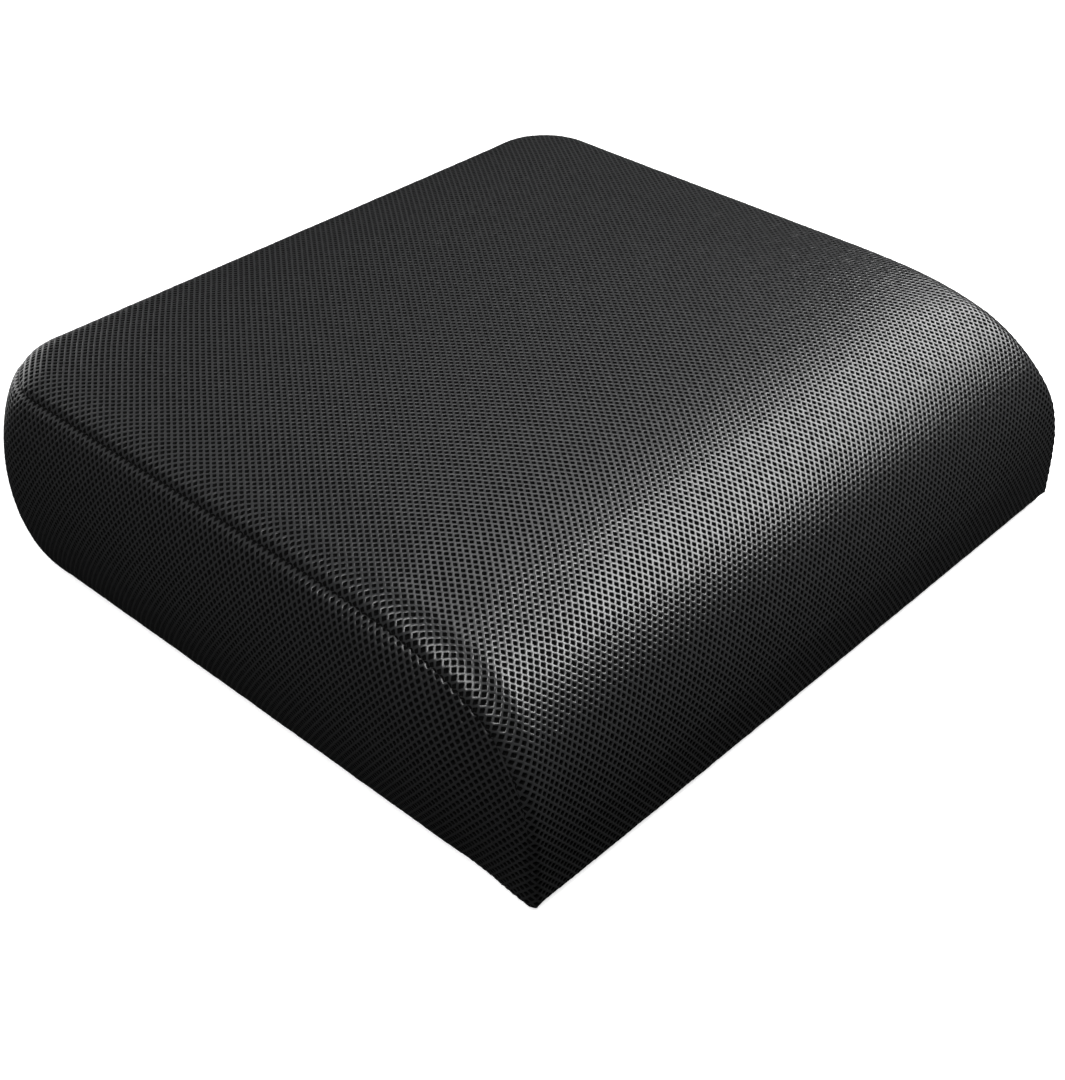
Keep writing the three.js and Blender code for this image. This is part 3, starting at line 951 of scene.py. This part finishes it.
def build_label(thread):
    """A blank satin label, sewn on along its top edge and curling out at the bottom."""
    low, high = box_mm("care_label")
    columns, rows = 36, 22
    x, z = np.meshgrid(np.linspace(low[0], high[0], columns), np.linspace(high[2], low[2], rows))
    u = (x - low[0]) / (high[0] - low[0])
    v = (high[2] - z) / (high[2] - low[2])
    wall = back_surface(np.column_stack([x.ravel(), z.ravel()]))
    wall += swelling(wall)
    lift = 0.7 + 2.6 * v.ravel() ** 2 * (0.55 + 0.45 * np.cos(3.5 * u.ravel() + 0.6))
    points = np.column_stack([x.ravel(), wall[:, 1] + lift, z.ravel()])
    label = make_object("care_label_satin", points, [grid_faces(rows, columns)[:, ::-1]])
    add_uv(label, np.column_stack([x.ravel(), z.ravel()]))
    thickness = label.modifiers.new("thickness", "SOLIDIFY")
    thickness.thickness = 0.2 * MM
    thickness.offset = 1
    bake_modifiers(label)
    place(label, "care_label", slot="label_satin", material=label_satin())
    edge = points[columns : 2 * columns] + [0, 0.35, 0]
    row = stitches("care_label_stitches", edge, outward(columns), radius=0.2, length=2.2)
    place(row, slot="zipper_tape", material=thread)


def build_seam_binding(deep_shade):
    """The overlocked edge that lies at the bottom of each seam's groove, painted near-black as the shade
    in the groove.
    """
    below = GROOVE_DEPTH + BINDING_RADIUS
    rows = []
    for loop in (TOP_LOOP, UNDERSIDE_LOOP):
        path = loop.points + swelling(loop.points) - unit(loop.normals) * below
        rows.append(tube(np.concatenate([path, path[:1]]), BINDING_RADIUS, sides=8))
    for side in (-1, 1):
        z = np.linspace(SEAM_Z, TOP_POINTS[-1, 2], 60)
        line = back_surface(np.column_stack([np.full(len(z), side * BACK_PANEL_HALF), z]))
        rows.append(tube(line + swelling(line) - [0, below, 0], BINDING_RADIUS, sides=8))
    binding = joined_tubes("seam_binding", rows)
    # near-black painted shade, the same as in the net's holes
    place(binding, slot="mesh_fabric", material=deep_shade)


# ---- materials ----


def new_material(name, color, roughness, sheen=0.0, specular=0.5):
    """A material with these values on its shader. Returns it, its node tree and the shader."""
    material = bpy.data.materials.new(name)
    material.use_nodes = True
    tree = material.node_tree
    shader = tree.nodes["Principled BSDF"]
    shader.inputs["Base Color"].default_value = (*color, 1)
    shader.inputs["Roughness"].default_value = roughness
    shader.inputs["Specular IOR Level"].default_value = specular
    shader.inputs["Sheen Weight"].default_value = sheen
    shader.inputs["Sheen Roughness"].default_value = 0.4
    return material, tree, shader


def link(tree, source, output, target, socket):
    tree.links.new(source.outputs[output], target.inputs[socket])


def texture(tree, kind, scale, **settings):
    """A procedural texture laid by the object's own coordinates."""
    where = tree.nodes.new("ShaderNodeTexCoord")
    made = tree.nodes.new("ShaderNodeTex" + kind)
    made.inputs["Scale"].default_value = scale
    for name, value in settings.items():
        setattr(made, name, value)
    link(tree, where, "Object", made, "Vector")
    return made


def add_bump(tree, shader, source, output, strength, distance):
    bump = tree.nodes.new("ShaderNodeBump")
    bump.inputs["Strength"].default_value = strength
    bump.inputs["Distance"].default_value = distance * MM
    link(tree, source, output, bump, "Height")
    link(tree, bump, "Normal", shader, "Normal")


def tint(tree, shader, source, output, dark, light, low=0.0, high=1.0):
    """Colours the shader between two colours by a texture's value."""
    ramp = tree.nodes.new("ShaderNodeValToRGB")
    ramp.color_ramp.elements[0].color = (*dark, 1)
    ramp.color_ramp.elements[1].color = (*light, 1)
    ramp.color_ramp.elements[0].position = low
    ramp.color_ramp.elements[1].position = high
    link(tree, source, output, ramp, "Fac")
    link(tree, ramp, "Color", shader, "Base Color")


def shaded(color, share):
    return tuple(channel * share for channel in color)


def mesh_fabric():
    """Black knitted net, with a fine yarn across its strands and painted shade that darkens the strands
    towards its holes.
    """
    material, tree, shader = new_material("mesh_fabric", (0.02, 0.02, 0.022), 0.3)
    depth = tree.nodes.new("ShaderNodeAttribute")
    depth.attribute_name = "pit_shade"
    # painted shade: the strands darken from the knots towards the rims of the holes
    tint(tree, shader, depth, "Fac", (0.028, 0.0285, 0.0295), (0.005, 0.005, 0.005), high=0.3)
    yarn = texture(tree, "Noise", 2600)
    add_bump(tree, shader, yarn, "Fac", 0.25, 0.12)
    return material


def painted_deep_shade():
    """The near-black bottoms of the net's holes: the knit's inner layer, painted far darker than the
    yarn as the shade down in the holes.
    """
    material, tree, shader = new_material("painted_deep_shade", (0.002, 0.002, 0.002), 1.0, specular=0.1)
    # painted shade, mottled a little between near-black tones
    shade_mottle = texture(tree, "Noise", 1500)
    tint(tree, shader, shade_mottle, "Fac", (0.001, 0.001, 0.001), (0.006, 0.006, 0.006), 0.4, 0.8)
    return material


def grip_fabric():
    """Matt plain-woven backing cloth."""
    color = (0.025, 0.025, 0.026)
    material, tree, shader = new_material("grip_fabric", color, 0.85, sheen=0.2)
    threads = texture(tree, "Brick", 700)
    threads.inputs["Mortar Size"].default_value = 0.12
    blotch = texture(tree, "Noise", 60)
    tint(tree, shader, blotch, "Fac", shaded(color, 0.7), shaded(color, 1.3), 0.3, 0.7)
    add_bump(tree, shader, threads, "Fac", 0.6, 0.2)
    return material


def grip_rubber():
    color = (0.012, 0.012, 0.013)
    material, tree, shader = new_material("grip_rubber", color, 0.55)
    dust = texture(tree, "Noise", 250)
    tint(tree, shader, dust, "Fac", color, shaded(color, 2.5), 0.5, 0.8)
    return material


def liner_fabric():
    """Off-white stockinette with fine ribs."""
    color = (0.7, 0.69, 0.65)
    material, tree, shader = new_material("liner_fabric", color, 0.8, sheen=0.3)
    ribs = texture(tree, "Wave", 500)
    blotch = texture(tree, "Noise", 40)
    tint(tree, shader, blotch, "Fac", shaded(color, 0.85), color, 0.3, 0.7)
    add_bump(tree, shader, ribs, "Fac", 0.5, 0.2)
    return material


def foam(name, color, cells):
    """Open-cell foam: small round pores, with painted shade a little darker inside them."""
    material, tree, shader = new_material(name, color, 0.9)
    pores = texture(tree, "Voronoi", cells)
    # painted shade inside the pores
    tint(tree, shader, pores, "Distance", color, shaded(color, 0.6), 0.3, 0.9)
    add_bump(tree, shader, pores, "Distance", 0.8, 0.4)
    return material


def zipper_tape():
    """Black tape woven in a herringbone."""
    color = (0.025, 0.025, 0.028)
    material, tree, shader = new_material("zipper_tape", color, 0.7, sheen=0.25)
    weave = texture(tree, "Wave", 600, wave_type="BANDS", bands_direction="DIAGONAL")
    tint(tree, shader, weave, "Fac", shaded(color, 0.5), shaded(color, 1.6))
    add_bump(tree, shader, weave, "Fac", 0.6, 0.15)
    return material


def thread_black():
    color = (0.05, 0.05, 0.053)
    material, tree, shader = new_material("thread_black", color, 0.5, sheen=0.2)
    twist = texture(tree, "Wave", 900, wave_type="BANDS", bands_direction="DIAGONAL")
    tint(tree, shader, twist, "Fac", shaded(color, 0.5), shaded(color, 1.6))
    add_bump(tree, shader, twist, "Fac", 0.5, 0.1)
    return material


def zipper_nylon():
    color = (0.02, 0.02, 0.022)
    material, tree, shader = new_material("zipper_nylon", color, 0.28)
    scuffs = texture(tree, "Noise", 900)
    tint(tree, shader, scuffs, "Fac", color, shaded(color, 2.2), 0.5, 0.8)
    return material


def zipper_metal():
    """Black coated zinc, with the coat worn thin in specks."""
    color = (0.05, 0.05, 0.053)
    material, tree, shader = new_material("zipper_metal", color, 0.25)
    wear = texture(tree, "Noise", 700)
    tint(tree, shader, wear, "Fac", color, (0.16, 0.16, 0.17), 0.62, 0.8)
    cast = texture(tree, "Noise", 1800)
    add_bump(tree, shader, cast, "Fac", 0.15, 0.05)
    return material


def label_satin():
    color = (0.75, 0.75, 0.73)
    material, tree, shader = new_material("label_satin", color, 0.4, sheen=0.3)
    ribs = texture(tree, "Wave", 700, wave_type="BANDS", bands_direction="Z")
    tint(tree, shader, ribs, "Fac", shaded(color, 0.9), color)
    add_bump(tree, shader, ribs, "Fac", 0.3, 0.08)
    return material


# ---- stage ----

WORLD_LIGHT = 0.02  # how bright the studio's surroundings are to the cushion
FAR_LEVEL = 0.7  # how bright they and the far floor are to the camera
LENS = 58.07
VIEW_TARGET = np.array([-28.0, -27.7, 12.6])
VIEW_ANGLES = (-46.87, 36.5)  # azimuth and elevation of the camera from its target
VIEW_DISTANCE = 950.5
LAMP_TARGET = np.array([0.0, 0.0, 60.0])
LAMP_DISTANCE = 1200.0
FLOOR_REACH = 8000.0


def direction(azimuth, elevation):
    """A unit vector from the cushion towards a viewer or a light."""
    a, e = math.radians(azimuth), math.radians(elevation)
    return np.array([math.sin(a) * math.cos(e), -math.cos(a) * math.cos(e), math.sin(e)])


def aim(obj, position, target):
    obj.location = Vector(position) * MM
    obj.rotation_euler = (Vector(position) - Vector(target)).to_track_quat("Z", "Y").to_euler()


def add_camera():
    data = bpy.data.cameras.new("camera")
    data.lens = LENS
    data.sensor_width = 36
    camera = into_scene(bpy.data.objects.new("camera", data))
    aim(camera, VIEW_TARGET + direction(*VIEW_ANGLES) * VIEW_DISTANCE, VIEW_TARGET)
    bpy.context.scene.camera = camera


def add_light(name, azimuth, elevation, size, power):
    """A square soft lamp, of this size along a side, aimed at the cushion."""
    data = bpy.data.lights.new(name, "AREA")
    data.size = size * MM
    data.energy = power
    light = into_scene(bpy.data.objects.new(name, data))
    aim(light, LAMP_TARGET + direction(azimuth, elevation) * LAMP_DISTANCE, LAMP_TARGET)


def add_world():
    """A pale studio all round for the camera, which gives the cushion itself little light."""
    world = bpy.data.worlds.new("studio")
    bpy.context.scene.world = world
    world.use_nodes = True
    tree = world.node_tree
    background = tree.nodes["Background"]
    background.inputs["Color"].default_value = (1, 1, 1, 1)
    rays = tree.nodes.new("ShaderNodeLightPath")
    strength = tree.nodes.new("ShaderNodeMapRange")
    strength.inputs["To Min"].default_value = WORLD_LIGHT
    strength.inputs["To Max"].default_value = FAR_LEVEL
    link(tree, rays, "Is Camera Ray", strength, "Value")
    link(tree, strength, "Result", background, "Strength")


def add_floor():
    """A pale floor that glows, so that shadows stay light, but lights nothing else."""
    sides = [(-1, -1), (1, -1), (1, 1), (-1, 1)]
    corners = [(x * FLOOR_REACH, y * FLOOR_REACH, LOW[2] - 0.05) for x, y in sides]
    floor = make_object("floor", corners, [np.array([[0, 1, 2, 3]])])
    material, _, shader = new_material("floor_paint", (0.85, 0.85, 0.85), 0.9, specular=0.1)
    shader.inputs["Emission Color"].default_value = (1, 1, 1, 1)
    shader.inputs["Emission Strength"].default_value = FAR_LEVEL
    floor.data.materials.append(material)
    floor.visible_diffuse = False
    floor.visible_glossy = False


def add_stage():
    """The floor and soft lamps: a key from the front right that shines along the waterfall,
    one from the right side, a fill from the left, and weak ones from above and behind."""
    add_floor()
    add_world()
    add_light("key", 44, 49, 460, 14.5)
    add_light("side", 80, 32, 500, 9.0)
    add_light("fill", 280, 52, 500, 8.8)
    add_light("rim", 120, 66, 500, 3.0)
    add_light("back", 186, 10, 700, 3.5)
    bpy.context.scene.view_settings.view_transform = "Standard"


# ---- the scene ----

body = closed_body()
swell = press_out(body)
swelling = read_swelling(body, swell)  # for every panel, trim and stitch that is laid below
# near-black painted shade, for the holes of the net and the grooves of the seams
deep_shade = painted_deep_shade()
build_cover(deep_shade)
build_underside()
build_foams(body, swell)
build_liner(body, swell)
bpy.data.objects.remove(body)
thread = thread_black()
build_seam_binding(deep_shade)
build_zipper()
build_topstitching(thread)
build_label(thread)
add_camera()
add_stage()
